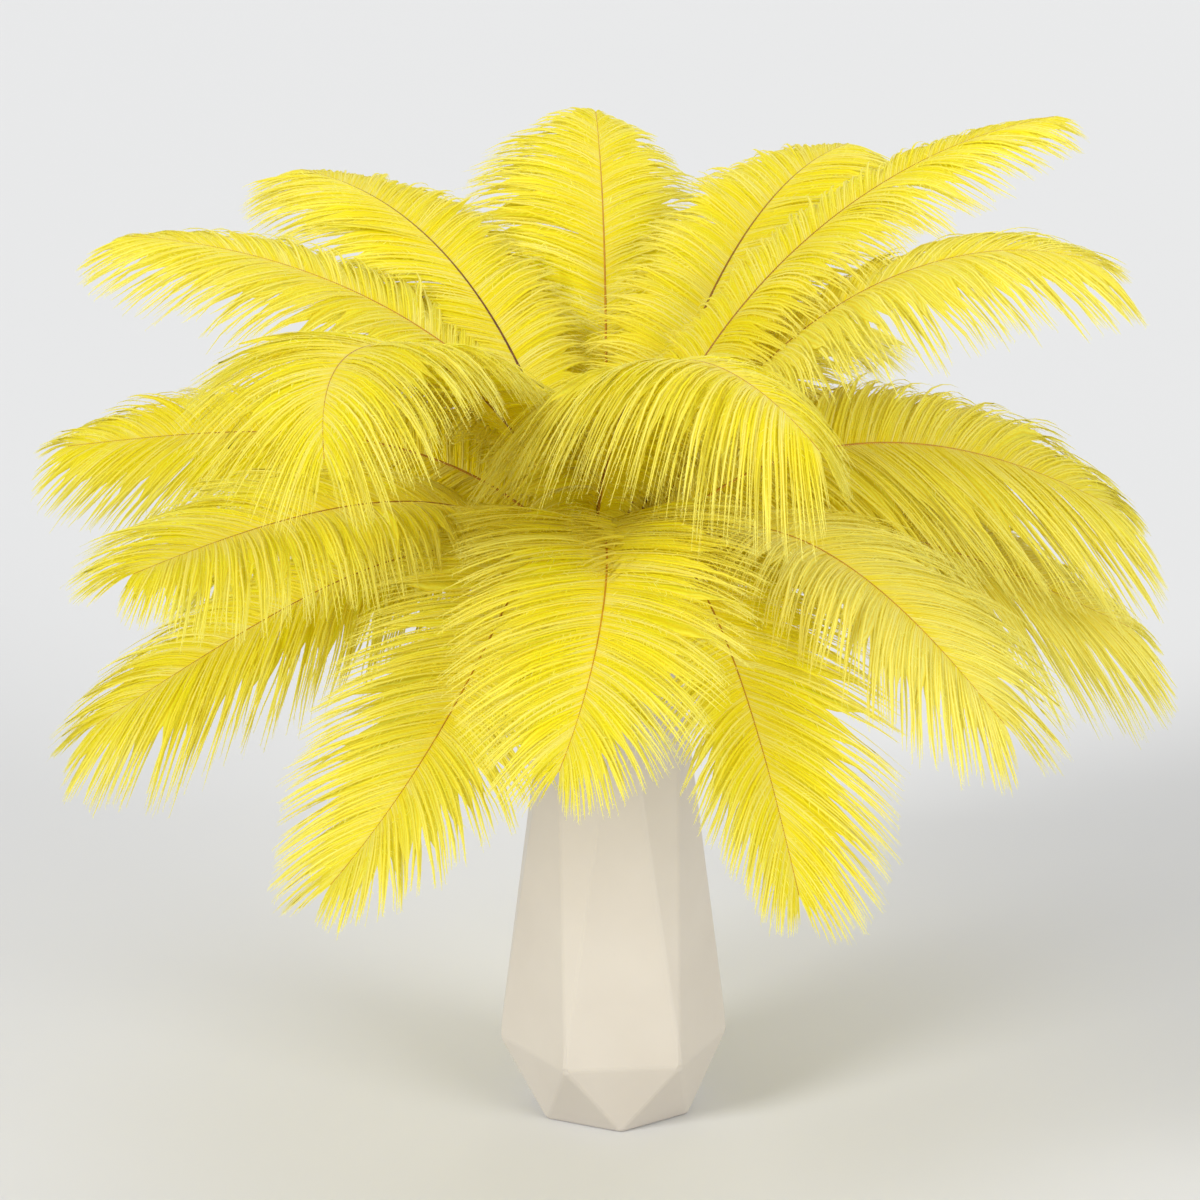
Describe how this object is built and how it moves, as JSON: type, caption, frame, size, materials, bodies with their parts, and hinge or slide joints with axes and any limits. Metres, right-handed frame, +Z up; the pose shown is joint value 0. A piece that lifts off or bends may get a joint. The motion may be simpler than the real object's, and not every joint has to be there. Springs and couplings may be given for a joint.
{
  "type": "ostrich feather arrangement",
  "caption": "Full bouquet of yellow dyed ostrich feathers standing in a white faceted ceramic vase, as a table or mantel decoration.",
  "frame": {"origin": "middle of the flat underside of the vase's foot", "axes": "+Z up along the vase's axis, -Y towards the front of the bouquet, +X to its right"},
  "size_m": [0.5844, 0.6234, 0.505],
  "materials": {
    "white_ceramic": "warm white satin glaze",
    "yellow_feather": "bright yellow dyed plume, soft and slightly shiny, with a brown shaft"
  },
  "bodies": {
    "root": {"vase": "white_ceramic", "crown_feather_1": "yellow_feather", "crown_feather_2": "yellow_feather", "crown_feather_3": "yellow_feather", "crown_feather_4": "yellow_feather", "middle_feather_1": "yellow_feather", "middle_feather_2": "yellow_feather", "middle_feather_3": "yellow_feather", "middle_feather_4": "yellow_feather", "middle_feather_5": "yellow_feather", "middle_feather_6": "yellow_feather", "middle_feather_7": "yellow_feather", "middle_feather_8": "yellow_feather", "skirt_feather_1": "yellow_feather", "skirt_feather_2": "yellow_feather", "skirt_feather_3": "yellow_feather", "skirt_feather_4": "yellow_feather", "skirt_feather_5": "yellow_feather", "skirt_feather_6": "yellow_feather", "skirt_feather_7": "yellow_feather", "skirt_feather_8": "yellow_feather", "skirt_feather_9": "yellow_feather", "skirt_feather_10": "yellow_feather", "skirt_feather_11": "yellow_feather"}
  },
  "joints": []
}
